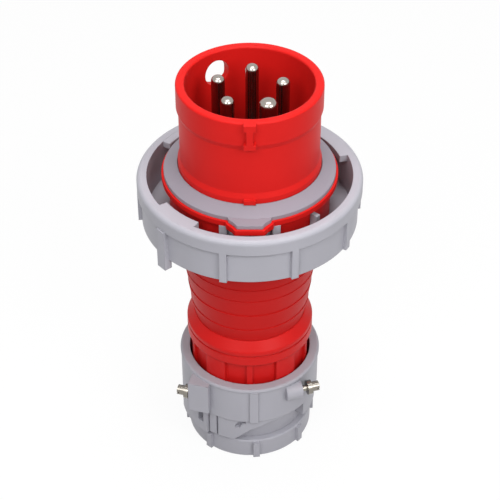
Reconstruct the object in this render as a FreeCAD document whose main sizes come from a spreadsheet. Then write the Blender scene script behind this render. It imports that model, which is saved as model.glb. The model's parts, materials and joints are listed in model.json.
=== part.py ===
import FreeCAD, Part
import Sketcher
import math
import os

# Pin and sleeve plug, five pins, watertight, with a bayonet locking ring.
# It stands on its cable nut: origin at the centre of the foot, +Z up to the pins, front (key side) at -Y.

# Driving dimensions. Lengths in millimetres, angles in degrees, turns counted from the front towards the right.
SIZES = {
    # Heights, stacked from the foot to the rim
    "cableNutHeight": 10.8,
    "collarSkirtHeight": 16.2,
    "collarWebThickness": 3.0,
    "collarBandHeight": 18.4,
    "glandNutHeight": 43.6,
    "shoulderGap": 0.3,
    "handleLength": 54.8,
    "ringFloat": 0.3,
    "ringWebThickness": 3.0,
    "barrelHeight": 18.5,
    "flangeThickness": 2.5,
    "gasketThickness": 1.8,
    "shroudHeight": 45.9,
    "spigotHeight": 3.3,
    "retainerThickness": 4.3,
    "carrierThickness": 12.0,
    "ledgeThickness": 2.2,
    # Shroud
    "shroudDiameter": 63.5,
    "shroudWall": 3.9,
    "rimFlare": 0.95,
    "rimBandHeight": 11.2,
    "flareHeight": 2.5,
    "rimRound": 0.9,
    "boreDraft": 0.45,
    "ledgeWidth": 1.4,
    "lipHeight": 2.3,
    "lipSlope": 2.4,
    "insertGrowth": 1.9,
    "insertClearance": 0.15,
    "barrelWall": 4.55,
    "stepWidth": 2.0,
    "flangeOverhang": 3.2,
    "keyWidth": 5.2,
    "keyWaist": 2.9,
    "keyDepth": 2.2,
    "keyHeadHeight": 3.1,
    "keyWaistHeight": 6.5,
    "keyFootHeight": 2.5,
    "lipNibDepth": 1.2,
    "interlockDiameter": 12.0,
    "interlockDrop": 10.7,
    "interlockTurn": 212.0,
    # Tongue and gasket
    "tongueRootWidth": 18.8,
    "tongueTipWidth": 10.7,
    "tongueReach": 5.0,
    "tongueRound": 2.2,
    "tongueTaper": 1.4,
    "tongueRootInset": 1.2,
    "gasketInset": 1.0,
    "gasketRise": 3.1,
    "gasketBoreGap": 0.25,
    # Pins
    "pinCount": 5,
    "pinCircle": 29.4,
    "pinSetback": 1.0,
    "phasePinDiameter": 6.0,
    "earthPinDiameter": 8.0,
    "pinHoleGap": 0.05,
    "pinRootGrowth": 0.3,
    "pinTipShare": 0.75,
    "pinCollarWidth": 2.0,
    "pinCollarHeight": 3.5,
    "terminalWidth": 1.5,
    "terminalLength": 18.3,
    "wireHoleShare": 0.56,
    "wireHoleDepth": 12.0,
    "terminalScrewDiameter": 4.0,
    "terminalScrewLength": 4.4,
    "terminalScrewRise": 5.0,
    "screwSlotWidth": 0.9,
    "screwSlotDepth": 1.1,
    "firstPinTurn": 32.0,
    # Carrier screws
    "carrierScrewCircle": 43.2,
    "carrierScrewDiameter": 3.5,
    "carrierScrewLength": 34.0,
    "carrierHeadDiameter": 6.2,
    "carrierHeadHeight": 2.2,
    "carrierHeadGap": 0.4,
    "bossDiameter": 7.6,
    "bossLength": 27.0,
    "bossWebWidth": 4.0,
    # Handle
    "handleFlangeOverhang": 3.0,
    "handleFlangeHeight": 3.2,
    "handleFlangeSlope": 5.0,
    "handleTopDiameter": 64.2,
    "neckDiameter": 52.6,
    "handleWall": 3.2,
    "spigotBoreDiameter": 53.2,
    "chamberFloor": 6.0,
    "gripFirstDrop": 30.5,
    "gripPitch": 8.75,
    "gripStep": 0.35,
    "threadDiameter": 48.0,
    "threadClearance": 0.2,
    "threadLength": 21.6,
    "cableChannelDiameter": 42.0,
    "sealGrooveWidth": 2.0,
    "sealGrooveDepth": 1.6,
    "sealGrooveInset": 1.2,
    # Locking ring
    "ringHeight": 22.8,
    "ringGap": 6.7,
    "ringWall": 2.9,
    "ringBeadHeight": 7.2,
    "ringBeadDepth": 1.6,
    "ringBeadRound": 2.2,
    "ringRibCount": 10,
    "ringRibWidth": 3.2,
    "ringRibTurn": -13.2,
    "markerRibWidth": 5.2,
    "markerRibDepth": 2.3,
    "markerRibDrop": 5.0,
    "lugThickness": 3.4,
    "lugDepth": 3.7,
    "leftLugTurn": -58.0,
    "leftLugSpan": 27.0,
    "backLugTurn": 106.0,
    "backLugSpan": 42.0,
    "stopRibDepth": 3.8,
    "stopRibHeight": 16.0,
    "stopRibTurn": 46.0,
    "stopRibSpan": 3.2,
    "restRibHeight": 6.0,
    "restRibTurn": -25.2,
    "restRibSpan": 3.8,
    "ringClearance": 0.3,
    # Ring stop
    "stopSeatGap": 0.02,
    "stopLegDepth": 3.4,
    "stopLegTurn": 14.3,
    "stopLegSpan": 5.2,
    "stopBandDepth": 1.2,
    "stopBandHeight": 6.0,
    # Gland nut
    "glandShoulderDiameter": 60.0,
    "glandPadDiameter": 57.6,
    "glandPanelDiameter": 54.0,
    "glandTopWall": 2.3,
    "glandShoulderRise": 4.6,
    "glandShoulderHeight": 2.1,
    "glandGrooveHeight": 1.0,
    "glandGrooveDepth": 0.6,
    "glandRoundShare": 0.6,
    "glandBandHeight": 4.8,
    "glandPadCount": 5,
    "glandPadSpan": 22.0,
    "glandPadTurn": 26.0,
    "glandRibWidth": 3.0,
    "glandSeatHeight": 12.0,
    "glandSkirtBore": 42.4,
    "glandSeatWeb": 3.0,
    # Seal, washer and collet
    "sealFlare": 2.5,
    "sealBore": 28.0,
    "washerThickness": 1.6,
    "washerBore": 30.0,
    "sealFit": 0.1,
    # Clamp collar
    "collarGap": 0.5,
    "collarWall": 4.1,
    "collarLipHeight": 1.6,
    "collarLipDepth": 0.5,
    "collarLipRound": 1.2,
    "skirtDiameter": 55.0,
    "windowTurn": -2.0,
    "windowSpan": 54.0,
    "leftPadTurn": -78.0,
    "leftPadSpan": 40.0,
    "leftPadDepth": 0.5,
    "leftPadDrop": 14.5,
    "rightPadTurn": 54.0,
    "rightPadSpan": 30.0,
    "rightPadDrop": 10.0,
    "rightPadInset": 1.0,
    "collarRibWidth": 4.2,
    "collarRibTurn": 3.5,
    "collarRibDepth": 0.9,
    "slotTurn": -45.0,
    "slotWidth": 3.4,
    "slotHeight": 13.6,
    "slotDepth": 3.0,
    "slotRise": 4.8,
    # Clamp screws
    "clampScrewOffset": 31.2,
    "clampScrewTurn": 16.3,
    "clampScrewDiameter": 3.0,
    "clampHeadDiameter": 7.0,
    "clampHeadHeight": 2.2,
    "clampDriveDiameter": 4.8,
    "clampDriveHeight": 3.6,
    "clampScrewGap": 0.1,
    "rightHeadGap": 2.8,
    "leftHeadGap": 0.4,
    "rightBossReach": 16.5,
    "leftBossReach": 20.6,
    "bossRadius": 4.2,
    "bossStart": 8.5,
    "rightScrewRise": 11.5,
    "leftScrewRise": 8.4,
    "leftBlockWidth": 10.2,
    "leftBlockHeight": 17.6,
    "leftBlockDepth": 8.0,
    "leftBlockProud": 3.6,
    "clampNutWidth": 5.2,
    "clampNutThickness": 2.6,
    "clampNutCover": 3.3,
    "clampTipLength": 1.0,
    "clampNutGap": 0.15,
    "threadPlay": 0.02,
    # Latch
    "latchTurn": -37.0,
    "latchSpan": 74.0,
    "latchDepth": 5.0,
    "latchHeight": 13.6,
    "latchGap": 0.1,
    "latchRampStart": -13.7,
    "latchHeelHeight": 1.2,
    "latchBendHeight": 2.5,
    "latchBendTurn": 17.5,
    "latchKneeHeight": 6.5,
    "latchKneeTurn": 0.2,
    "hookRise": 8.4,
    "seamTurn": -29.0,
    "seamWidth": 0.9,
    "seamDepth": 1.4,
    "hookRadius": 5.2,
    "hookWidth": 2.4,
    "hookTurn": -3.4,
    "hookDepth": 2.4,
    # Cable nut
    "cableNutDiameter": 61.0,
    "cableNutRibCount": 8,
    "cableNutRibWidth": 3.2,
    "cableNutRibDepth": 1.6,
    "cableNutRibTurn": 6.0,
    "cableNutRibLift": 0.8,
    "cableNutRound": 0.9,
    "nutTubeDiameter": 42.0,
    "nutTubeLength": 26.4,
    "nutTubeBore": 34.0,
    "cableBore": 29.0,
    "cableBoreDepth": 7.0,
    "webTubeGap": 0.15,
    "colletHeight": 22.0,
    "colletWall": 1.9,
    "colletGap": 0.1,
    "colletSlotCount": 6,
    "colletSlotWidth": 1.6,
    "colletRingHeight": 5.0,
    # Cutters
    "cutterMargin": 1.0,
}


class Size:
    """A length or an angle: its number, and the sheet expression that gives it."""

    def __init__(self, number, text=None):
        self.number = float(number)
        self.text = repr(float(number)) if text is None else text

    def __add__(self, other):
        other = sized(other)
        return Size(self.number + other.number, f"({self.text} + {other.text})")

    def __sub__(self, other):
        other = sized(other)
        return Size(self.number - other.number, f"({self.text} - {other.text})")

    def __mul__(self, other):
        other = sized(other)
        return Size(self.number * other.number, f"({self.text} * {other.text})")

    def __truediv__(self, other):
        other = sized(other)
        return Size(self.number / other.number, f"({self.text} / {other.text})")

    def __neg__(self):
        return Size(-self.number, f"(0 - {self.text})")


def sized(value):
    return value if isinstance(value, Size) else Size(value)


def sine(angle):
    return Size(math.sin(math.radians(angle.number)), f"sin({angle.text})")


def cosine(angle):
    return Size(math.cos(math.radians(angle.number)), f"cos({angle.text})")


class Sheet:
    """The sizes by name, each tied to its own cell."""

    def __init__(self, document, values):
        cells = document.addObject("Spreadsheet::Sheet", "sizes")
        for row, (alias, value) in enumerate(values.items(), start=1):
            cells.set(f"A{row}", alias)
            cells.set(f"B{row}", str(value))
            cells.setAlias(f"B{row}", alias)
            setattr(self, alias, Size(value, f"sizes.{alias}"))


doc = FreeCAD.newDocument("pinAndSleevePlug")
s = Sheet(doc, SIZES)
doc.recompute()
zero = Size(0)
parts = []

# Levels along the axis, from the foot up
nutTop = s.cableNutHeight
collarSeat = nutTop + s.collarSkirtHeight
glandBottom = collarSeat + s.collarWebThickness
collarTop = glandBottom + s.collarBandHeight
glandTop = glandBottom + s.glandNutHeight
handleBottom = glandTop + s.shoulderGap
handleTop = handleBottom + s.handleLength
webBottom = handleTop + s.ringFloat
webTop = webBottom + s.ringWebThickness
barrelStep = webTop + s.ringFloat
ringTop = webBottom + s.ringHeight
flangeBottom = barrelStep + s.barrelHeight
flangeTop = flangeBottom + s.flangeThickness
gasketTop = flangeTop + s.gasketThickness
gasketCrest = gasketTop + s.gasketRise
rimTop = flangeTop + s.shroudHeight
retainerBottom = handleTop + s.spigotHeight
carrierBottom = retainerBottom + s.retainerThickness
ledgeBottom = carrierBottom + s.carrierThickness
pinFloor = ledgeBottom + s.ledgeThickness
pinTip = rimTop - s.pinSetback

# Radii shared by pieces that fit one another
rimRadius = s.shroudDiameter / 2
rimBore = rimRadius - s.shroudWall
floorBore = rimBore - s.boreDraft
ledgeBore = floorBore - s.ledgeWidth
insertRadius = floorBore + s.insertGrowth
barrelBore = insertRadius + s.insertClearance
barrelRadius = barrelBore + s.barrelWall
stepRadius = barrelRadius + s.stepWidth
flangeRadius = stepRadius + s.flangeOverhang
gasketRadius = flangeRadius - s.gasketInset
ringInner = flangeRadius + s.ringGap
ringOuter = ringInner + s.ringWall
ringBeadRadius = ringOuter + s.ringBeadDepth
webBore = barrelRadius + s.ringClearance
threadRadius = s.threadDiameter / 2
glandBore = threadRadius + s.threadClearance
padRadius = s.glandPadDiameter / 2
collarBore = padRadius + s.collarGap
collarRadius = collarBore + s.collarWall
skirtRadius = s.skirtDiameter / 2
tubeRadius = s.nutTubeDiameter / 2
webTubeBore = tubeRadius + s.webTubeGap
pinRing = s.pinCircle / 2
carrierScrewRing = s.carrierScrewCircle / 2
fullTurn = Size(360)
pinStep = fullTurn / s.pinCount


def fromFront(turn):
    return turn - 90


def plane(body, role):
    return [item for item in body.Origin.OriginFeatures if item.Role == role][0]


def newBody(name):
    return doc.addObject("PartDesign::Body", name)


def keep(item, name):
    item.Label = name
    parts.append(item)
    return item


def place(sketch, lift, turn, axis):
    sketch.AttachmentOffset = FreeCAD.Placement(
        FreeCAD.Vector(0, 0, lift.number), FreeCAD.Rotation(axis, turn.number))
    sketch.setExpression("AttachmentOffset.Base.z", lift.text)
    sketch.setExpression("AttachmentOffset.Rotation.Angle", turn.text)


def newSketch(body, role, lift, turn):
    sketch = body.newObject("Sketcher::SketchObject", body.Name + "Sketch")
    sketch.AttachmentSupport = (plane(body, role), [""])
    sketch.MapMode = "FlatFace"
    spin = FreeCAD.Vector(0, 0, 1) if role == "XY_Plane" else FreeCAD.Vector(0, 1, 0)
    place(sketch, sized(lift), sized(turn), spin)
    return sketch


def tie(sketch, kind, geometry, point, size):
    index = sketch.addConstraint(Sketcher.Constraint(kind, -1, 1, geometry, point, size.number))
    sketch.setExpression(f"Constraints[{index}]", size.text)


def outline(body, role, corners, lift=0, turn=0):
    sketch = newSketch(body, role, lift, turn)
    corners = [(sized(across), sized(up)) for across, up in corners]
    count = len(corners)
    for index, (across, up) in enumerate(corners):
        after = corners[(index + 1) % count]
        sketch.addGeometry(Part.LineSegment(FreeCAD.Vector(across.number, up.number, 0),
                                            FreeCAD.Vector(after[0].number, after[1].number, 0)))
    for index in range(count):
        sketch.addConstraint(Sketcher.Constraint("Coincident", index, 2, (index + 1) % count, 1))
    for index, (across, up) in enumerate(corners):
        tie(sketch, "DistanceX", index, 1, across)
        tie(sketch, "DistanceY", index, 1, up)
    return sketch


def discs(body, role, circles, lift=0, turn=0):
    sketch = newSketch(body, role, lift, turn)
    for across, up, radius in circles:
        across, up = sized(across), sized(up)
        centre = FreeCAD.Vector(across.number, up.number, 0)
        index = sketch.addGeometry(Part.Circle(centre, FreeCAD.Vector(0, 0, 1), radius.number))
        tie(sketch, "DistanceX", index, 3, across)
        tie(sketch, "DistanceY", index, 3, up)
        last = sketch.addConstraint(Sketcher.Constraint("Radius", index, radius.number))
        sketch.setExpression(f"Constraints[{last}]", radius.text)
    return sketch


def revolve(body, corners, span=360, turn=0, kind="Revolution"):
    """A ring or a sector of one: corners are (radius, height), the span starts at the turn."""
    feature = body.newObject(f"PartDesign::{kind}", body.Name + kind)
    feature.Profile = outline(body, "XZ_Plane", corners, turn=turn)
    feature.ReferenceAxis = (feature.Profile[0], ["V_Axis"])
    feature.Angle = sized(span).number
    feature.setExpression("Angle", sized(span).text)
    doc.recompute()
    return feature


def pad(body, sketch, length):
    feature = body.newObject("PartDesign::Pad", body.Name + "Pad")
    feature.Profile = sketch
    feature.Length = length.number
    feature.setExpression("Length", length.text)
    doc.recompute()
    return feature


def pocket(body, sketch, depth):
    """Cuts from the sketch down against its normal, and makes sure that it cut something."""
    before = body.Shape.Volume
    feature = body.newObject("PartDesign::Pocket", body.Name + "Pocket")
    feature.Profile = sketch
    feature.Length = depth.number
    feature.setExpression("Length", depth.text)
    doc.recompute()
    if body.Shape.Volume > before - 1e-6:
        raise ValueError(f"{feature.Name} removes nothing")
    return feature


def around(body, feature, count):
    pattern = body.newObject("PartDesign::PolarPattern", body.Name + "Pattern")
    pattern.Originals = [feature]
    pattern.Axis = (plane(body, "Z_Axis"), [""])
    pattern.Angle = 360
    pattern.Occurrences = int(count.number)
    pattern.setExpression("Occurrences", count.text)
    body.Tip = pattern
    doc.recompute()
    return pattern


def soften(body, feature, rims, radius):
    """Rounds the full circles that lie at the given (radius, height) places."""
    names = []
    for index, edge in enumerate(feature.Shape.Edges, start=1):
        if not isinstance(edge.Curve, Part.Circle):
            continue
        for across, up in rims:
            same = abs(edge.Curve.Radius - across.number) < 1e-4
            if same and abs(edge.Curve.Center.z - up.number) < 1e-4:
                names.append(f"Edge{index}")
    rounding = body.newObject("PartDesign::Fillet", body.Name + "Fillet")
    rounding.Base = (feature, names)
    rounding.Radius = radius.number
    rounding.setExpression("Radius", radius.text)
    doc.recompute()
    return rounding


def cut(base, tool, name):
    result = doc.addObject("Part::Cut", name)
    result.Base = base
    result.Tool = tool
    doc.recompute()
    return result


def fuse(items, name):
    result = doc.addObject("Part::MultiFuse", name)
    result.Shapes = items
    result.Refine = True
    doc.recompute()
    return result


def group(items, name):
    result = doc.addObject("Part::Compound", name)
    result.Links = items
    doc.recompute()
    return result


def turnBody(body, turn):
    turn = sized(turn)
    body.Placement = FreeCAD.Placement(FreeCAD.Vector(0, 0, 0),
                                       FreeCAD.Rotation(FreeCAD.Vector(0, 0, 1), turn.number))
    body.setExpression("Placement.Rotation.Angle", turn.text)
    return body


def shiftBody(body, across, along, up):
    for axis, size in zip("xyz", (sized(across), sized(along), sized(up))):
        setattr(body.Placement.Base, axis, size.number)
        body.setExpression(f"Placement.Base.{axis}", size.text)
    return body


def rod(name, radius, start, length, offset, height, turn):
    """A round bar along X, set off from the axis by the offset along Y, then turned about Z."""
    body = newBody(name)
    pad(body, discs(body, "YZ_Plane", [(offset, height, radius)], lift=start), length)
    return turnBody(body, turn)


def tongue(rim, margin):
    """Plan outline of the front tongue on a round rim, grown all round by the margin."""
    root = s.tongueRootWidth / 2 + margin
    tip = s.tongueTipWidth / 2 + margin
    corner = tip + s.tongueTaper
    reach = rim + s.tongueReach
    inside = rim - s.tongueReach
    right = [(root, -rim + s.tongueRootInset), (corner + s.tongueRound, -rim - s.tongueRound / 4),
             (corner, -reach + s.tongueRound), (tip, -reach)]
    left = [(-across, along) for across, along in reversed(right)]
    return [(root, -inside)] + right + left + [(-root, -inside)]


def makePinShroud():
    body = newBody("pinShroudBody")
    slopeTop = rimTop - s.rimBandHeight
    slopeBottom = slopeTop - s.flareHeight
    bodyRadius = rimRadius - s.rimFlare
    lipTop = gasketCrest + s.lipHeight
    shell = revolve(body, [
        (barrelBore, handleTop), (barrelRadius, handleTop), (barrelRadius, barrelStep),
        (stepRadius, barrelStep), (stepRadius, flangeBottom), (flangeRadius, flangeBottom),
        (flangeRadius, flangeTop), (rimRadius, flangeTop), (rimRadius, lipTop),
        (bodyRadius, lipTop + s.lipSlope), (bodyRadius, slopeBottom), (rimRadius, slopeTop),
        (rimRadius, rimTop), (rimBore, rimTop), (floorBore, pinFloor), (ledgeBore, pinFloor),
        (ledgeBore, ledgeBottom), (barrelBore, ledgeBottom)])
    rounded = soften(body, shell, [(rimRadius, rimTop), (rimBore, rimTop)], s.rimRound)
    flap = tongue(flangeRadius, s.gasketInset)
    pad(body, outline(body, "XY_Plane", flap, lift=flangeBottom), s.flangeThickness)
    keyFace = rimRadius + s.keyDepth
    keyRoot = rimRadius - s.shroudWall / 2
    waistTop = rimTop - s.keyHeadHeight
    waistBottom = waistTop - s.keyWaistHeight
    key = [(s.keyWidth, waistTop, s.keyHeadHeight), (s.keyWaist, waistBottom, s.keyWaistHeight),
           (s.keyWidth, waistBottom - s.keyFootHeight, s.keyFootHeight)]
    for width, low, height in key:
        block = [(-width / 2, -keyFace), (width / 2, -keyFace), (width / 2, -keyRoot), (-width / 2, -keyRoot)]
        pad(body, outline(body, "XY_Plane", block, lift=low), height)
    nibFace = rimRadius + s.lipNibDepth
    nib = [(-s.keyWidth / 2, -nibFace), (s.keyWidth / 2, -nibFace),
           (s.keyWidth / 2, -keyRoot), (-s.keyWidth / 2, -keyRoot)]
    pad(body, outline(body, "XY_Plane", nib, lift=gasketCrest), s.lipHeight)
    drill = rod("interlockDrill", s.interlockDiameter / 2, rimBore - s.shroudWall, s.shroudWall * 3,
                zero, rimTop - s.interlockDrop, fromFront(s.interlockTurn))
    keep(cut(body, drill, "pinShroud"), "pin_shroud")


def makeFaceGasket():
    body = newBody("faceGasket")
    bore = rimRadius + s.gasketBoreGap
    revolve(body, [(bore, flangeTop), (gasketRadius, flangeTop), (gasketRadius, gasketTop), (bore, gasketCrest)])
    flap = tongue(gasketRadius, zero)
    pad(body, outline(body, "XY_Plane", flap, lift=flangeTop), s.gasketThickness)
    keep(body, "face_gasket")


PIN_NAMES = ["pin_earth", "pin_line_1", "pin_line_2", "pin_line_3", "pin_neutral"]


def pinTurn(index):
    return s.firstPinTurn + pinStep * index


def pinRadius(index):
    return (s.earthPinDiameter if index == 0 else s.phasePinDiameter) / 2


def pinSpot(index, ring):
    turn = fromFront(pinTurn(index))
    return ring * cosine(turn), ring * sine(turn)


# Carrier screws stand midway between neighbouring pins, in these gaps counted in pin steps from the earth pin
SCREW_GAPS = [0.5, 2.5, 3.5]


def screwTurns():
    return [fromFront(s.firstPinTurn + pinStep * gap) for gap in SCREW_GAPS]


def screwSpots():
    return [(carrierScrewRing * cosine(turn), carrierScrewRing * sine(turn)) for turn in screwTurns()]


def makeCarrier():
    body = newBody("pinCarrier")
    plug = ledgeBore - s.insertClearance
    revolve(body, [(zero, carrierBottom), (insertRadius, carrierBottom), (insertRadius, ledgeBottom),
                   (plug, ledgeBottom), (plug, pinFloor), (zero, pinFloor)])
    holes = [(*pinSpot(index, pinRing), pinRadius(index) + s.pinRootGrowth + s.pinHoleGap)
             for index in range(len(PIN_NAMES))]
    holes += [(across, up, s.carrierScrewDiameter / 2 + s.pinHoleGap) for across, up in screwSpots()]
    pocket(body, discs(body, "XY_Plane", holes, lift=pinFloor), pinFloor - carrierBottom)
    seats = [(*pinSpot(index, pinRing), pinRadius(index) + s.pinCollarWidth + s.pinHoleGap)
             for index in range(len(PIN_NAMES))]
    seatSketch = discs(body, "XY_Plane", seats, lift=carrierBottom + s.pinCollarHeight)
    pocket(body, seatSketch, s.pinCollarHeight)
    heads = [(across, up, s.carrierHeadDiameter / 2 + s.carrierHeadGap) for across, up in screwSpots()]
    pocket(body, discs(body, "XY_Plane", heads, lift=pinFloor), s.carrierHeadHeight)
    keep(body, "pin_carrier")


def makeRetainer():
    body = newBody("pinRetainer")
    revolve(body, [(zero, retainerBottom), (insertRadius, retainerBottom),
                   (insertRadius, carrierBottom), (zero, carrierBottom)])
    holes = [(*pinSpot(index, pinRing), pinRadius(index) + s.terminalWidth + s.pinHoleGap)
             for index in range(len(PIN_NAMES))]
    holes += [(across, up, s.carrierScrewDiameter / 2 + s.pinHoleGap) for across, up in screwSpots()]
    pocket(body, discs(body, "XY_Plane", holes, lift=carrierBottom), s.retainerThickness)
    keep(body, "pin_retainer")


terminalBottom = carrierBottom - s.terminalLength
terminalScrewHeight = terminalBottom + s.terminalScrewRise


def makePin(index):
    name = PIN_NAMES[index]
    body = newBody(name.replace("_", "") + "Body")
    stem = pinRadius(index)
    root = stem + s.pinRootGrowth
    collar = stem + s.pinCollarWidth
    barrel = stem + s.terminalWidth
    wireHole = barrel * s.wireHoleShare
    solid = revolve(body, [(wireHole, terminalBottom), (barrel, terminalBottom), (barrel, carrierBottom),
                           (collar, carrierBottom), (collar, carrierBottom + s.pinCollarHeight),
                           (root, carrierBottom + s.pinCollarHeight), (root, pinFloor), (stem, pinFloor),
                           (stem, pinTip), (zero, pinTip),
                           (zero, terminalBottom + s.wireHoleDepth),
                           (wireHole, terminalBottom + s.wireHoleDepth)])
    soften(body, solid, [(stem, pinTip)], stem * s.pinTipShare)
    hole = discs(body, "YZ_Plane", [(zero, terminalScrewHeight, s.terminalScrewDiameter / 2)],
                 lift=barrel + s.cutterMargin)
    pocket(body, hole, barrel + s.cutterMargin - wireHole / 2)
    turnBody(body, fromFront(pinTurn(index)))
    shiftBody(body, *pinSpot(index, pinRing), 0)
    keep(body, name)


def makeTerminalScrews():
    screws = []
    for index in range(len(PIN_NAMES)):
        body = newBody(f"terminalScrew{index + 1}x")
        barrel = pinRadius(index) + s.terminalWidth
        end = barrel + s.screwSlotDepth
        start = end - s.terminalScrewLength
        radius = s.terminalScrewDiameter / 2 - s.pinHoleGap
        pad(body, discs(body, "YZ_Plane", [(zero, terminalScrewHeight, radius)], lift=start),
            s.terminalScrewLength)
        half = s.screwSlotWidth / 2
        slot = [(-radius * 2, terminalScrewHeight - half), (radius * 2, terminalScrewHeight - half),
                (radius * 2, terminalScrewHeight + half), (-radius * 2, terminalScrewHeight + half)]
        pocket(body, outline(body, "YZ_Plane", slot, lift=end), s.screwSlotDepth)
        turnBody(body, fromFront(pinTurn(index)))
        shiftBody(body, *pinSpot(index, pinRing), 0)
        screws.append(body)
    keep(group(screws, "terminalScrews"), "terminal_screws")


def makeCarrierScrews():
    screws = []
    for index, (across, up) in enumerate(screwSpots()):
        body = newBody(f"carrierScrew{index + 1}x")
        shank = s.carrierScrewDiameter / 2
        head = s.carrierHeadDiameter / 2
        seat = pinFloor - s.carrierHeadHeight
        point = seat - s.carrierScrewLength
        revolve(body, [(zero, point), (shank, point + shank), (shank, seat), (head, seat), (head, pinFloor),
                       (zero, pinFloor)])
        half = s.screwSlotWidth / 2
        slot = [(-head * 2, -half), (head * 2, -half), (head * 2, half), (-head * 2, half)]
        pocket(body, outline(body, "XY_Plane", slot, lift=pinFloor), s.screwSlotDepth)
        shiftBody(body, across, up, 0)
        screws.append(body)
    keep(group(screws, "carrierScrews"), "carrier_screws")


def makeHandle():
    body = newBody("handleBody")
    topRadius = s.handleTopDiameter / 2
    neckRadius = s.neckDiameter / 2
    flange = barrelRadius + s.handleFlangeOverhang
    flangeLow = handleTop - s.handleFlangeHeight
    coneTop = flangeLow - s.handleFlangeSlope
    slope = (topRadius - neckRadius) / (coneTop - handleBottom)
    wallTop = s.spigotBoreDiameter / 2
    channel = s.cableChannelDiameter / 2
    neckBore = neckRadius - s.handleWall
    outside = [(insertRadius, retainerBottom), (insertRadius, handleTop), (flange, handleTop),
               (flange, flangeLow), (topRadius, coneTop)]
    for step in range(3):
        level = handleTop - s.gripFirstDrop - s.gripPitch * step
        cone = neckRadius + slope * (level - handleBottom)
        outside += [(cone + s.gripStep, level), (cone - s.gripStep, level)]
    outside += [(neckRadius, handleBottom), (threadRadius, handleBottom),
                (threadRadius, handleBottom - s.threadLength)]
    inside = [(channel, handleBottom - s.threadLength), (channel, handleBottom),
              (neckBore, handleBottom + s.chamberFloor), (wallTop, flangeLow - s.bossLength / 2),
              (wallTop, retainerBottom)]
    revolve(body, outside + inside)
    bossLow = retainerBottom - s.bossLength
    half = s.bossWebWidth / 2
    webEnd = insertRadius - s.cutterMargin
    web = [(carrierScrewRing, -half), (webEnd, -half), (webEnd, half), (carrierScrewRing, half)]
    for turn in screwTurns():
        pad(body, discs(body, "XY_Plane", [(carrierScrewRing, zero, s.bossDiameter / 2)],
                        lift=bossLow, turn=turn), s.bossLength)
        pad(body, outline(body, "XY_Plane", web, lift=bossLow, turn=turn), s.bossLength)
    grip = s.carrierScrewDiameter / 2 + s.pinHoleGap
    pocket(body, discs(body, "XY_Plane", [(across, up, grip) for across, up in screwSpots()],
                       lift=retainerBottom), s.carrierScrewLength - s.carrierThickness)
    grooveInner = barrelBore + s.sealGrooveInset
    grooveLow = handleTop - s.sealGrooveDepth
    revolve(body, [(grooveInner, grooveLow), (grooveInner + s.sealGrooveWidth, grooveLow),
                   (grooveInner + s.sealGrooveWidth, handleTop + s.ringFloat / 2),
                   (grooveInner, handleTop + s.ringFloat / 2)], kind="Groove")
    keep(body, "handle")
    seal = newBody("bodySeal")
    inner = grooveInner + s.pinHoleGap
    outer = grooveInner + s.sealGrooveWidth - s.pinHoleGap
    revolve(seal, [(inner, grooveLow), (outer, grooveLow), (outer, handleTop), (inner, handleTop)])
    keep(seal, "body_seal")


def makeLockingRing():
    body = newBody("lockingRing")
    beadLow = ringTop - s.ringBeadHeight
    shell = revolve(body, [
        (webBore, webBottom), (ringOuter, webBottom), (ringOuter, beadLow), (ringBeadRadius, beadLow),
        (ringBeadRadius, ringTop), (ringInner, ringTop), (ringInner, webTop), (webBore, webTop)])
    shell = soften(body, shell, [(ringBeadRadius, ringTop)], s.ringBeadRound)
    lugInner = ringInner - s.lugDepth
    lugOuter = ringInner + s.ringWall / 2
    lugLow = ringTop - s.lugThickness
    lug = [(lugInner, lugLow), (lugOuter, lugLow), (lugOuter, ringTop), (lugInner, ringTop)]
    revolve(body, lug, s.leftLugSpan, fromFront(s.leftLugTurn))
    revolve(body, lug, s.backLugSpan, fromFront(s.backLugTurn))
    stopInner = stepRadius + s.ringClearance
    stopOuter = stopInner + s.stopRibDepth
    webMiddle = webBottom + s.ringWebThickness / 2
    high = webTop + s.stopRibHeight
    low = webTop + s.restRibHeight
    revolve(body, [(stopInner, webMiddle), (stopOuter, webMiddle), (stopOuter, high), (stopInner, high)],
            s.stopRibSpan, fromFront(s.stopRibTurn))
    revolve(body, [(stopInner, webMiddle), (stopOuter, webMiddle), (stopOuter, low), (stopInner, low)],
            s.restRibSpan, fromFront(s.restRibTurn))
    wallMiddle = ringInner + s.ringWall / 2
    half = s.markerRibWidth / 2
    markerFace = ringBeadRadius + s.markerRibDepth - s.ringBeadDepth
    markerTurn = s.ringRibTurn - fullTurn / s.ringRibCount
    marker = [(wallMiddle, -half), (markerFace, -half), (markerFace, half), (wallMiddle, half)]
    markerLow = webBottom - s.markerRibDrop
    pad(body, outline(body, "XY_Plane", marker, lift=markerLow, turn=fromFront(markerTurn)),
        beadLow - markerLow)
    half = s.ringRibWidth / 2
    rib = [(wallMiddle, -half), (ringBeadRadius, -half), (ringBeadRadius, half), (wallMiddle, half)]
    feature = pad(body, outline(body, "XY_Plane", rib, lift=webBottom, turn=fromFront(s.ringRibTurn)),
                  beadLow - webBottom)
    around(body, feature, s.ringRibCount)
    keep(body, "locking_ring")


def makeRingStop():
    body = newBody("ringStop")
    inner = stepRadius + s.stopSeatGap
    legOuter = inner + s.stopLegDepth
    bandOuter = inner + s.stopBandDepth
    legLow = barrelStep + s.ringFloat
    bandLow = flangeBottom - s.stopBandHeight
    legEnd = s.stopLegTurn + s.stopLegSpan
    revolve(body, [(inner, bandLow), (bandOuter, bandLow), (bandOuter, flangeBottom), (inner, flangeBottom)],
            legEnd * 2, fromFront(-legEnd))
    leg = [(inner, legLow), (legOuter, legLow), (legOuter, flangeBottom), (inner, flangeBottom)]
    revolve(body, leg, s.stopLegSpan, fromFront(s.stopLegTurn))
    revolve(body, leg, s.stopLegSpan, fromFront(-legEnd))
    keep(body, "ring_stop")


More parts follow.
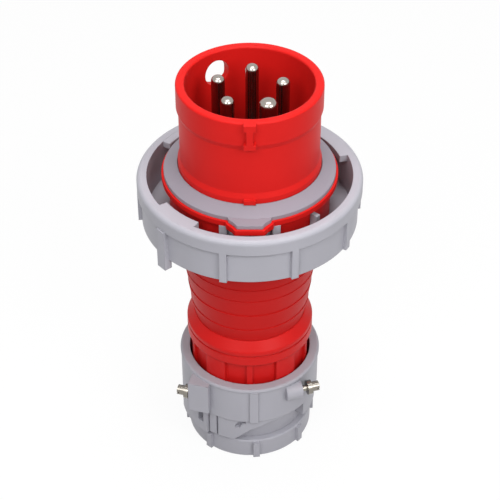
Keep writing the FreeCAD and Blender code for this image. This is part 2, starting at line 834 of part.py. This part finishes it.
seatTop = glandBottom + s.glandSeatHeight
washerTop = seatTop + s.washerThickness
sealTop = handleBottom - s.threadLength


def makeGlandNut():
    body = newBody("glandNut")
    shoulder = s.glandShoulderDiameter / 2
    panel = s.glandPanelDiameter / 2
    top = glandBore + s.glandTopWall
    shoulderTop = glandTop - s.glandShoulderRise
    shoulderLow = shoulderTop - s.glandShoulderHeight
    bandTop = shoulderLow - s.glandGrooveHeight
    bandLow = bandTop - s.glandBandHeight
    skirtBore = s.glandSkirtBore / 2
    washerHole = s.washerBore / 2
    seatLow = seatTop - s.glandSeatWeb
    shell = revolve(body, [
        (glandBore, seatTop), (glandBore, glandTop), (top, glandTop), (shoulder, shoulderTop),
        (shoulder, shoulderLow), (shoulder - s.glandGrooveDepth, shoulderLow),
        (shoulder - s.glandGrooveDepth, bandTop), (shoulder, bandTop), (shoulder, bandLow),
        (panel, bandLow), (panel, glandBottom), (skirtBore, glandBottom), (skirtBore, seatLow),
        (washerHole, seatLow), (washerHole, seatTop)])
    soften(body, shell, [(shoulder, shoulderTop)], s.glandShoulderHeight * s.glandRoundShare)
    rootRadius = panel - s.cutterMargin
    raised = [(rootRadius, glandBottom), (padRadius, glandBottom), (padRadius, bandLow), (rootRadius, bandLow)]
    feature = revolve(body, raised, s.glandPadSpan, fromFront(s.glandPadTurn))
    around(body, feature, s.glandPadCount)
    half = s.glandRibWidth / 2
    rib = [(rootRadius, -half), (padRadius - s.gripStep, -half), (padRadius - s.gripStep, half), (rootRadius, half)]
    feature = pad(body, outline(body, "XY_Plane", rib, lift=glandBottom, turn=fromFront(zero)),
                  bandLow - glandBottom)
    around(body, feature, s.glandPadCount)
    keep(body, "gland_nut")


def makeGlandRings():
    outer = glandBore - s.sealFit
    washer = newBody("glandWasher")
    bore = s.washerBore / 2
    revolve(washer, [(bore, seatTop), (outer, seatTop), (outer, washerTop), (bore, washerTop)])
    keep(washer, "gland_washer")
    seal = newBody("glandSeal")
    bore = s.sealBore / 2
    waist = bore + s.sealFlare
    revolve(seal, [(bore, washerTop), (outer, washerTop), (outer, sealTop), (waist, sealTop)])
    keep(seal, "gland_seal")


rightScrewHeight = glandBottom + s.rightScrewRise
leftScrewHeight = glandBottom + s.leftScrewRise


def bossReach(side):
    return s.rightBossReach if side > 0 else s.leftBossReach


def headStart(side):
    return bossReach(side) + (s.rightHeadGap if side > 0 else s.leftHeadGap)


def nutStart(side):
    return bossReach(side) - s.clampNutCover - s.clampNutThickness


def screwTip(side):
    return nutStart(side) - s.clampTipLength


def clampRod(name, side, radius, start, length):
    """A round bar on the line of the right (side 1) or the left (side -1) clamp screw."""
    height = rightScrewHeight if side > 0 else leftScrewHeight
    begin = start if side > 0 else -(start + length)
    return rod(name, radius, begin, length, -s.clampScrewOffset, height, s.clampScrewTurn * side)


def makeClampCollar():
    body = newBody("clampCollarBody")
    lipRadius = collarRadius + s.collarLipDepth
    lipLow = collarTop - s.collarLipHeight
    shell = revolve(body, [
        (webTubeBore, nutTop), (skirtRadius, nutTop), (skirtRadius, collarSeat), (collarRadius, collarSeat),
        (collarRadius, lipLow), (lipRadius, lipLow), (lipRadius, collarTop), (collarBore, collarTop),
        (collarBore, glandBottom), (webTubeBore, glandBottom)])
    soften(body, shell, [(lipRadius, collarTop)], s.collarLipRound)
    window = [(webTubeBore - s.cutterMargin, nutTop - s.cutterMargin),
              (skirtRadius + s.cutterMargin, nutTop - s.cutterMargin),
              (skirtRadius + s.cutterMargin, collarSeat), (webTubeBore - s.cutterMargin, collarSeat)]
    revolve(body, window, s.windowSpan, fromFront(s.windowTurn), kind="Groove")
    root = skirtRadius - s.cutterMargin
    bandRoot = collarBore + s.collarWall / 2
    leftFace = collarRadius + s.leftPadDepth
    leftLow = collarSeat - s.leftPadDrop
    revolve(body, [(root, leftLow), (leftFace, leftLow), (leftFace, lipLow), (bandRoot, lipLow),
                   (bandRoot, collarSeat), (root, collarSeat)], s.leftPadSpan, fromFront(s.leftPadTurn))
    rightLow = collarSeat - s.rightPadDrop
    rightFace = collarRadius - s.rightPadInset
    revolve(body, [(root, rightLow), (rightFace, rightLow), (rightFace, collarSeat), (root, collarSeat)],
            s.rightPadSpan, fromFront(s.rightPadTurn))
    half = s.collarRibWidth / 2
    ribFace = collarRadius + s.collarRibDepth
    rib = [(bandRoot, -half), (ribFace, -half), (ribFace, half), (bandRoot, half)]
    pad(body, outline(body, "XY_Plane", rib, lift=collarSeat, turn=fromFront(s.collarRibTurn)),
        lipLow - collarSeat)
    blockRight = s.leftBossReach - s.leftBlockWidth
    blockFace = s.clampScrewOffset + s.leftBlockProud
    blockLow = leftScrewHeight - s.leftBlockHeight / 2
    block = newBody("leftBlock")
    corners = [(-s.leftBossReach, -blockFace), (-blockRight, -blockFace),
               (-blockRight, -blockFace + s.leftBlockDepth), (-s.leftBossReach, -blockFace + s.leftBlockDepth)]
    pad(block, outline(block, "XY_Plane", corners, lift=blockLow), s.leftBlockHeight)
    turnBody(block, -s.clampScrewTurn)
    rightBoss = clampRod("rightBoss", 1, s.bossRadius, s.bossStart, s.rightBossReach - s.bossStart)
    solid = fuse([body, block, rightBoss], "clampCollarSolid")
    tools = []
    hollow = newBody("clampHollow")
    hollowTop = collarTop + s.cutterMargin
    revolve(hollow, [(zero, glandBottom), (collarBore, glandBottom), (collarBore, hollowTop), (zero, hollowTop)])
    tools.append(hollow)
    hole = s.clampScrewDiameter / 2 + s.clampScrewGap
    for side, name in ((1, "right"), (-1, "left")):
        start = screwTip(side) - s.clampScrewGap
        tools.append(clampRod(f"{name}Hole", side, hole, start, bossReach(side) + s.cutterMargin - start))
        tools.append(nutBlock(f"{name}NutSeat", side, s.clampNutGap))
    slot = newBody("collarSlot")
    half = s.slotWidth / 2
    slotFace = leftFace + s.cutterMargin
    slotFloor = leftFace - s.slotDepth
    corners = [(slotFloor, -half), (slotFace, -half), (slotFace, half), (slotFloor, half)]
    pad(slot, outline(slot, "XY_Plane", corners, lift=collarSeat + s.slotRise - s.slotHeight,
                      turn=fromFront(s.slotTurn)), s.slotHeight)
    tools.append(slot)
    keep(cut(solid, fuse(tools, "clampTools"), "clampCollar"), "clamp_collar")


def nutBlock(name, side, gap):
    """The square nut of one clamp screw, grown by the gap for its seat."""
    body = newBody(name)
    height = rightScrewHeight if side > 0 else leftScrewHeight
    half = s.clampNutWidth / 2 + gap
    near = -s.clampScrewOffset + half
    far = -s.clampScrewOffset - half
    corners = [(near, height - half), (far, height - half), (far, height + half), (near, height + half)]
    thick = s.clampNutThickness + gap * 2
    start = nutStart(side) - gap
    begin = start if side > 0 else -(start + thick)
    pad(body, outline(body, "YZ_Plane", corners, lift=begin), thick)
    return turnBody(body, s.clampScrewTurn * side)


def makeClampScrew(name, side):
    """A flanged screw: shank, flange against the clamp, and a slotted head."""
    short = "right" if side > 0 else "left"
    tip = screwTip(side)
    seat = headStart(side)
    top = seat + s.clampHeadHeight + s.clampDriveHeight
    shank = clampRod(f"{short}Shank", side, s.clampScrewDiameter / 2, tip, seat - tip)
    flange = clampRod(f"{short}Flange", side, s.clampHeadDiameter / 2, seat, s.clampHeadHeight)
    drive = clampRod(f"{short}Drive", side, s.clampDriveDiameter / 2, seat, top - seat)
    height = rightScrewHeight if side > 0 else leftScrewHeight
    slot = newBody(f"{short}Slot")
    half = s.screwSlotWidth / 2
    near = -s.clampScrewOffset + s.clampHeadDiameter
    far = -s.clampScrewOffset - s.clampHeadDiameter
    corners = [(near, height - half), (far, height - half), (far, height + half), (near, height + half)]
    begin = top - s.screwSlotDepth if side > 0 else -top
    pad(slot, outline(slot, "YZ_Plane", corners, lift=begin), s.screwSlotDepth)
    turnBody(slot, s.clampScrewTurn * side)
    keep(cut(fuse([shank, flange, drive], f"{short}ScrewBlank"), slot, f"{short}Screw"), name)


def makeClampNuts():
    nuts = []
    for side, name in ((1, "rightNut"), (-1, "leftNut")):
        block = nutBlock(f"{name}Block", side, zero)
        bore = clampRod(f"{name}Bore", side, s.clampScrewDiameter / 2 + s.threadPlay, screwTip(side),
                        bossReach(side) - screwTip(side))
        nuts.append(cut(block, bore, name))
    keep(group(nuts, "clampNuts"), "clamp_nuts")


def makeClampLatch():
    """A curved hook piece under the front of the collar, with a sloping foot, a seam and a hooked gap."""
    body = newBody("clampLatchBody")
    inner = skirtRadius + s.latchGap
    outer = inner + s.latchDepth
    low = collarSeat - s.latchHeight
    revolve(body, [(inner, low), (outer, low), (outer, collarSeat), (inner, collarSeat)],
            s.latchSpan, fromFront(s.latchTurn))
    ramp = newBody("latchRamp")
    under = low - s.cutterMargin
    toe = outer * sine(s.latchRampStart)
    knee = outer * sine(s.latchKneeTurn)
    bend = outer * sine(s.latchBendTurn)
    heel = outer * sine(s.latchTurn + s.latchSpan) + s.cutterMargin
    wedge = [(toe, under), (heel, under), (heel, collarSeat - s.latchHeelHeight),
             (bend, collarSeat - s.latchBendHeight), (knee, collarSeat - s.latchKneeHeight), (toe, low)]
    pad(ramp, outline(ramp, "XZ_Plane", wedge, lift=inner / 2), outer)
    hook = newBody("latchHook")
    middle = outer * sine(s.hookTurn)
    base = low + s.hookRise
    ring = discs(hook, "XZ_Plane", [(middle, base, s.hookRadius), (middle, base, s.hookRadius - s.hookWidth)],
                 lift=outer - s.hookDepth)
    pad(hook, ring, outer)
    far = s.hookRadius * 2
    rest = newBody("latchHookRest")
    corners = [(middle - far, base - far), (middle + far, base - far), (middle + far, base + far),
               (middle, base + far), (middle, base), (middle - far, base)]
    pad(rest, outline(rest, "XZ_Plane", corners, lift=outer / 2), outer * 2)
    seam = newBody("latchSeam")
    half = s.seamWidth / 2
    face = outer + s.cutterMargin
    corners = [(outer - s.seamDepth, -half), (face, -half), (face, half), (outer - s.seamDepth, half)]
    pad(seam, outline(seam, "XY_Plane", corners, lift=under, turn=fromFront(s.seamTurn)),
        collarSeat + s.cutterMargin - under)
    tools = fuse([ramp, cut(hook, rest, "latchHookArc"), seam], "latchTools")
    keep(cut(body, tools, "clampLatch"), "clamp_latch")


def makeCableNut():
    body = newBody("cableNut")
    radius = s.cableNutDiameter / 2
    cable = s.cableBore / 2
    bore = s.nutTubeBore / 2
    tubeTop = nutTop + s.nutTubeLength
    shell = revolve(body, [
        (cable, zero), (radius, zero), (radius, nutTop), (tubeRadius, nutTop), (tubeRadius, tubeTop),
        (bore, tubeTop), (bore, s.cableBoreDepth), (cable, s.cableBoreDepth)])
    soften(body, shell, [(radius, nutTop), (radius, zero)], s.cableNutRound)
    half = s.cableNutRibWidth / 2
    face = radius + s.cableNutRibDepth
    root = radius - s.cutterMargin
    rib = [(root, -half), (face, -half), (face, half), (root, half)]
    sketch = outline(body, "XY_Plane", rib, lift=s.cableNutRibLift, turn=fromFront(s.cableNutRibTurn))
    around(body, pad(body, sketch, nutTop - s.cableNutRibLift * 2), s.cableNutRibCount)
    keep(body, "cable_nut")


def makeCollet():
    """A slotted sleeve in the nut's tube, drawn in on the cable as the nut is tightened."""
    body = newBody("cableCollet")
    outer = s.nutTubeBore / 2 - s.colletGap
    inner = outer - s.colletWall
    top = s.cableBoreDepth + s.colletHeight
    revolve(body, [(inner, s.cableBoreDepth), (outer, s.cableBoreDepth), (outer, top), (inner, top)])
    half = s.colletSlotWidth / 2
    near = inner - s.cutterMargin
    far = outer + s.cutterMargin
    slot = [(near, -half), (far, -half), (far, half), (near, half)]
    feature = pocket(body, outline(body, "XY_Plane", slot, lift=top + s.cutterMargin),
                     s.colletHeight - s.colletRingHeight + s.cutterMargin)
    around(body, feature, s.colletSlotCount)
    keep(body, "cable_collet")


doc.recompute()
makePinShroud()
makeFaceGasket()
makeCarrier()
makeRetainer()
for pinIndex in range(len(PIN_NAMES)):
    makePin(pinIndex)
makeTerminalScrews()
makeCarrierScrews()
makeHandle()
makeLockingRing()
makeRingStop()
makeGlandNut()
makeGlandRings()
makeClampCollar()
makeClampLatch()
makeClampScrew("clamp_screw_right", 1)
makeClampScrew("clamp_screw_left", -1)
makeClampNuts()
makeCableNut()
makeCollet()

doc.recompute()
for item in doc.Objects:
    if "Invalid" in item.State or "Error" in item.State:
        raise RuntimeError(f"{item.Name} failed: {item.State}")
for part in parts:
    if part.Shape.isNull() or not part.Shape.isValid():
        raise RuntimeError(f"{part.Label} has no valid shape")
os.makedirs("parts", exist_ok=True)
for part in parts:
    part.Shape.exportStep(f"parts/{part.Label}.step")
    print(part.Label, len(part.Shape.Solids), round(part.Shape.Volume, 1))
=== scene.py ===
import json
import math

import bpy
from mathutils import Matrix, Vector


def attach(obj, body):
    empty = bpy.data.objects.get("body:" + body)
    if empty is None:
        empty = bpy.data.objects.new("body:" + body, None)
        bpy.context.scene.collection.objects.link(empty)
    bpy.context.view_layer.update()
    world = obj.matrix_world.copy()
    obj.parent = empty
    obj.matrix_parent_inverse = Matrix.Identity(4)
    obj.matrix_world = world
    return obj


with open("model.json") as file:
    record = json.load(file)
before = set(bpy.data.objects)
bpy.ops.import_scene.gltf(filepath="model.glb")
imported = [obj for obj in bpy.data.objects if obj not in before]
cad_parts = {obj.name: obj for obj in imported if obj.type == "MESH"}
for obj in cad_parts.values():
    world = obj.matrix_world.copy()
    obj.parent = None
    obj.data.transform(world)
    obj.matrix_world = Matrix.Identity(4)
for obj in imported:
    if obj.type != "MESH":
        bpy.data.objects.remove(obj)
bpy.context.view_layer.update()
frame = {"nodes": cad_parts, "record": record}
nodes = frame["nodes"]
print("frame loaded:", len(nodes), "nodes")


# Finishes

white = (1.0, 1.0, 1.0, 1.0)
surfaceLook = {
    "grainDetail": 2.0,
    "grainStrength": 0.35,
    "edgeSamples": 4,
    "mottleDetail": 3.0,
    "mottleStops": (0.3, 0.7),   # noise under the first is the darker tone, over the second the lighter
}
plasticLook = {
    "grainScale": 2600.0,        # fine spark-eroded grain, cells per metre
    "grainDepth": 0.00002,
    "edgeRound": 0.0005,         # moulded edges are never sharp
    "mottleScale": 45.0,
    "mottleSpread": 0.03,
}
metalLook = {
    "grainScale": 5200.0,
    "grainDepth": 0.000006,
    "edgeRound": 0.0002,
    "mottleScale": 300.0,
    "mottleSpread": 0.06,
}


def startMaterial(name):
    material = bpy.data.materials.new(name)
    material.use_nodes = True
    shader = material.node_tree.nodes["Principled BSDF"]
    return material, material.node_tree.nodes, material.node_tree.links, shader


def addNode(tree, kind, **values):
    node = tree.new(kind)
    for key, value in values.items():
        if key in node.inputs:
            node.inputs[key].default_value = value
        else:
            setattr(node, key, value)
    return node


def mottle(tree, links, shader, colour, look):
    # a few percent of lighter and darker tone, as moulded or plated surfaces have
    place = addNode(tree, "ShaderNodeTexCoord")
    noise = addNode(tree, "ShaderNodeTexNoise", Scale=look["mottleScale"], Detail=surfaceLook["mottleDetail"])
    ramp = addNode(tree, "ShaderNodeValToRGB")
    links.new(place.outputs["Object"], noise.inputs["Vector"])
    links.new(noise.outputs["Fac"], ramp.inputs["Fac"])
    tones = (1 - look["mottleSpread"], 1 + look["mottleSpread"])
    for stop, share, position in zip(ramp.color_ramp.elements, tones, surfaceLook["mottleStops"]):
        stop.color = [min(1.0, channel * share) for channel in colour] + [1.0]
        stop.position = position
    links.new(ramp.outputs["Color"], shader.inputs["Base Color"])
    return place


def grain(tree, links, shader, place, look):
    noise = addNode(tree, "ShaderNodeTexNoise", Scale=look["grainScale"], Detail=surfaceLook["grainDetail"])
    rounding = addNode(tree, "ShaderNodeBevel", Radius=look["edgeRound"], samples=surfaceLook["edgeSamples"])
    bump = addNode(tree, "ShaderNodeBump", Strength=surfaceLook["grainStrength"], Distance=look["grainDepth"])
    links.new(place.outputs["Object"], noise.inputs["Vector"])
    links.new(noise.outputs["Fac"], bump.inputs["Height"])
    links.new(rounding.outputs["Normal"], bump.inputs["Normal"])
    links.new(bump.outputs["Normal"], shader.inputs["Normal"])


def plastic(name, colour, roughness, specular=0.5, refraction=1.5, edge=plasticLook["edgeRound"]):
    material, tree, links, shader = startMaterial(name)
    shader.inputs["Roughness"].default_value = roughness
    shader.inputs["IOR"].default_value = refraction
    shader.inputs["Specular IOR Level"].default_value = specular
    place = mottle(tree, links, shader, colour, plasticLook)
    grain(tree, links, shader, place, dict(plasticLook, edgeRound=edge))
    return material


def metal(name, colour, roughness):
    material, tree, links, shader = startMaterial(name)
    shader.inputs["Metallic"].default_value = 1.0
    shader.inputs["Roughness"].default_value = roughness
    place = mottle(tree, links, shader, colour, metalLook)
    grain(tree, links, shader, place, metalLook)
    return material


finishes = {
    "red_plastic": plastic("redPlastic", (0.66, 0.012, 0.010), 0.45, specular=0.3, refraction=1.3),
    "grey_plastic": plastic("greyPlastic", (0.405, 0.40, 0.445), 0.42, specular=0.3),
    "grey_gasket": plastic("greyGasket", (0.285, 0.262, 0.305), 0.6, specular=0.3),
    "dark_insulator": plastic("darkInsulator", (0.035, 0.022, 0.02), 0.45),
    "nickel_contact": metal("nickelContact", (0.36, 0.33, 0.30), 0.2),
    "screw_steel": metal("screwSteel", (0.27, 0.25, 0.22), 0.24),
    "dark_rubber": plastic("darkRubber", (0.03, 0.03, 0.032), 0.7),
}

# darker copies of the red plastic for the handle and the gland nut: their darker colour is painted shade of
# the ring above them, the gland nut's finish also glossier
paintedShadeFinishes = {
    "handle": plastic("handleRedPaintedShade", (0.55, 0.010, 0.009), 0.45, specular=0.25, refraction=1.3, edge=0.0002),
    "gland_nut": plastic("glandRedPaintedShade", (0.63, 0.011, 0.010), 0.4, specular=0.35, refraction=1.3, edge=0.0009),
}

slotOf = {part["node"]: part["material_slot"] for part in frame["record"]["subparts"]}
for nodeName, thing in nodes.items():
    for slot in thing.material_slots:
        slot.material = paintedShadeFinishes.get(nodeName, finishes[slotOf[nodeName]])
print("finishes given to", len(nodes), "nodes")


# Forms that the solids lack

# a right angle rounded in three steps turns by 30 degrees at a step, just at this limit, so the last digit
# decides which steps of the two curved blocks are smoothed, and a few of them differ from run to run
smoothAngle = math.radians(30)
backLug = {
    "name": "ring_lug_back",
    "body": "coupling_ring",
    "slot": "grey_plastic",
    "turn": -162.5,              # where it begins, in degrees from the front towards the right
    "span": 42.0,
    "radii": (0.0422, 0.0470),   # its face, and a foot inside the ring's wall
    "heights": (0.1484, 0.15175),
    "steps": 24,
    "round": 0.0003,
    "roundSegments": 3,
    "roundFrom": 40.0,           # edges whose faces turn by more degrees than this are rounded
}
skirtPanel = {
    "name": "collar_skirt_panel",
    "body": "housing",
    "slot": "grey_plastic",
    "turn": -3.0,
    "span": 56.0,
    "radii": (0.0250, 0.02745),
    "heights": (0.0109, 0.0271),
    "steps": 32,
    "round": 0.0002,
    "roundSegments": 3,
    "roundFrom": 40.0,
}


def makeSector(setup):
    # a curved block: four corners in radius and height, spun about the plug's axis
    bpy.ops.object.select_all(action="DESELECT")
    bpy.ops.mesh.primitive_plane_add(size=1.0, location=(0, 0, 0))
    piece = bpy.context.object
    piece.name = setup["name"]
    start = math.radians(setup["turn"] - 90)
    corners = [(radius, height) for height in setup["heights"] for radius in setup["radii"]]
    for vertex, (radius, height) in zip(piece.data.vertices, corners):
        vertex.co = (radius * math.cos(start), radius * math.sin(start), height)
    bpy.ops.object.mode_set(mode="EDIT")
    bpy.ops.mesh.select_all(action="SELECT")
    bpy.ops.mesh.spin(
        steps=setup["steps"], angle=-math.radians(setup["span"]), center=(0, 0, 0), axis=(0, 0, 1))
    bpy.ops.mesh.select_all(action="SELECT")
    bpy.ops.mesh.normals_make_consistent(inside=False)
    bpy.ops.object.mode_set(mode="OBJECT")
    bevel = piece.modifiers.new("bevel", "BEVEL")
    bevel.width = setup["round"]
    bevel.segments = setup["roundSegments"]
    bevel.angle_limit = math.radians(setup["roundFrom"])
    bpy.ops.object.modifier_apply(modifier=bevel.name)
    bpy.ops.object.shade_smooth_by_angle(angle=smoothAngle)
    piece.data.materials.append(finishes[setup["slot"]])
    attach(piece, setup["body"])


handleGrip = {
    "name": "handle_grip",
    "body": "housing",
    "node": "handle",            # whose finish, the red darkened as painted shade, and slot they take
    # top height and radius, foot height and radius of each sleeve, the highest first
    "sleeves": (
        (0.1081, 0.0310, 0.1008, 0.02997),
        (0.1008, 0.0302, 0.0913, 0.0287),
        (0.0913, 0.02905, 0.08155, 0.0276),
        (0.08155, 0.0279, 0.0750, 0.02642),
    ),
    "thickness": 0.0009,
    "facets": 192,
}


def makeGrip(setup):
    # sleeves that stand proud of the handle's cone at the top, so that each shows a ledge that faces up
    for number, (high, wide, low, narrow) in enumerate(setup["sleeves"], 1):
        bpy.ops.object.select_all(action="DESELECT")
        bpy.ops.mesh.primitive_cone_add(
            vertices=setup["facets"], radius1=narrow, radius2=wide, depth=high - low,
            end_fill_type="NOTHING", location=(0, 0, (high + low) / 2))
        sleeve = bpy.context.object
        sleeve.name = f"{setup['name']}_{number}"
        bpy.ops.object.transform_apply(location=True, rotation=False, scale=False)
        wall = sleeve.modifiers.new("wall", "SOLIDIFY")
        wall.thickness = setup["thickness"]
        wall.offset = -1.0       # inwards only
        bpy.ops.object.modifier_apply(modifier=wall.name)
        bpy.ops.object.shade_smooth_by_angle(angle=smoothAngle)
        sleeve.data.materials.append(paintedShadeFinishes[setup["node"]])
        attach(sleeve, setup["body"])


makeSector(backLug)
makeSector(skirtPanel)
makeGrip(handleGrip)
print("forms added")


# Stage

stageSetup = {
    "floorSize": 6.0,
    "floorColour": (0.5, 0.5, 0.5, 1.0),
    "glow": 0.88,                # share of the floor's white that no shadow takes away
    "glowLevel": 1.06,
    "worldLevel": 0.34,          # how strongly the white world lights the plug
}


def backdropRays(tree, links):
    # 1 where the white background is looked at, seen through or mirrored, 0 where it lights the object
    ray = addNode(tree, "ShaderNodeLightPath")
    found = ray.outputs["Is Camera Ray"]
    for kind in ("Is Glossy Ray", "Is Transmission Ray"):
        either = addNode(tree, "ShaderNodeMath", operation="MAXIMUM")
        links.new(found, either.inputs[0])
        links.new(ray.outputs[kind], either.inputs[1])
        found = either.outputs[0]
    return found


def makeFloor():
    bpy.ops.object.select_all(action="DESELECT")
    bpy.ops.mesh.primitive_plane_add(size=stageSetup["floorSize"], location=(0, 0, 0))
    floor = bpy.context.object
    floor.name = "floor"
    material, tree, links, shader = startMaterial("paleFloor")
    shader.inputs["Base Color"].default_value = stageSetup["floorColour"]
    shader.inputs["Roughness"].default_value = 1.0
    shader.inputs["Specular IOR Level"].default_value = 0.0
    glow = addNode(tree, "ShaderNodeEmission", Strength=stageSetup["glowLevel"], Color=white)
    share = addNode(tree, "ShaderNodeMath", operation="MULTIPLY")
    share.inputs[1].default_value = stageSetup["glow"]
    mix = addNode(tree, "ShaderNodeMixShader")
    output = tree["Material Output"]
    links.new(backdropRays(tree, links), share.inputs[0])
    links.new(share.outputs[0], mix.inputs["Fac"])
    links.new(shader.outputs["BSDF"], mix.inputs[1])
    links.new(glow.outputs["Emission"], mix.inputs[2])
    links.new(mix.outputs["Shader"], output.inputs["Surface"])
    floor.data.materials.append(material)


def makeWorld():
    world = bpy.data.worlds.new("studio")
    world.use_nodes = True
    bpy.context.scene.world = world
    tree = world.node_tree.nodes
    links = world.node_tree.links
    back = tree["Background"]
    level = addNode(tree, "ShaderNodeMix", data_type="FLOAT")
    level.inputs["A"].default_value = stageSetup["worldLevel"]
    level.inputs["B"].default_value = 1.0
    back.inputs["Color"].default_value = white
    links.new(backdropRays(tree, links), level.inputs["Factor"])
    links.new(level.outputs["Result"], back.inputs["Strength"])


makeFloor()
makeWorld()
print("stage ready")


# Lights

lightSetup = {
    "key": {"at": (-0.27, -0.6, 0.8), "size": 0.45, "power": 3.7},
    "fill": {"at": (0.45, -0.58, 0.68), "size": 0.45, "power": 3.9},
    "top": {"at": (0.03, 0.02, 1.0), "size": 0.45, "power": 4.4},
}
lampAim = Vector((0, 0, 0.11))   # a little above the plug's middle
for name, setup in lightSetup.items():
    lamp = bpy.data.lights.new(name, "AREA")
    lamp.energy = setup["power"]
    lamp.size = setup["size"]
    holder = bpy.data.objects.new(name, lamp)
    bpy.context.scene.collection.objects.link(holder)
    holder.location = setup["at"]
    holder.rotation_euler = (lampAim - Vector(setup["at"])).to_track_quat("-Z", "Y").to_euler()
print("lights placed:", len(lightSetup))


# Camera

cameraSetup = {
    "at": (0.0001, -0.515, 0.5299),
    "tilt": 50.59,               # degrees up from looking straight down
    "lens": 103.44,
    "sensorWidth": 36.0,
    "clipStart": 0.02,
}
cameraData = bpy.data.cameras.new("camera")
cameraData.sensor_width = cameraSetup["sensorWidth"]
cameraData.lens = cameraSetup["lens"]
cameraData.clip_start = cameraSetup["clipStart"]
camera = bpy.data.objects.new("camera", cameraData)
bpy.context.scene.collection.objects.link(camera)
camera.location = cameraSetup["at"]
camera.rotation_euler = (math.radians(cameraSetup["tilt"]), 0.0, 0.0)
bpy.context.scene.camera = camera
bpy.context.scene.view_settings.view_transform = "Standard"
print("camera set")
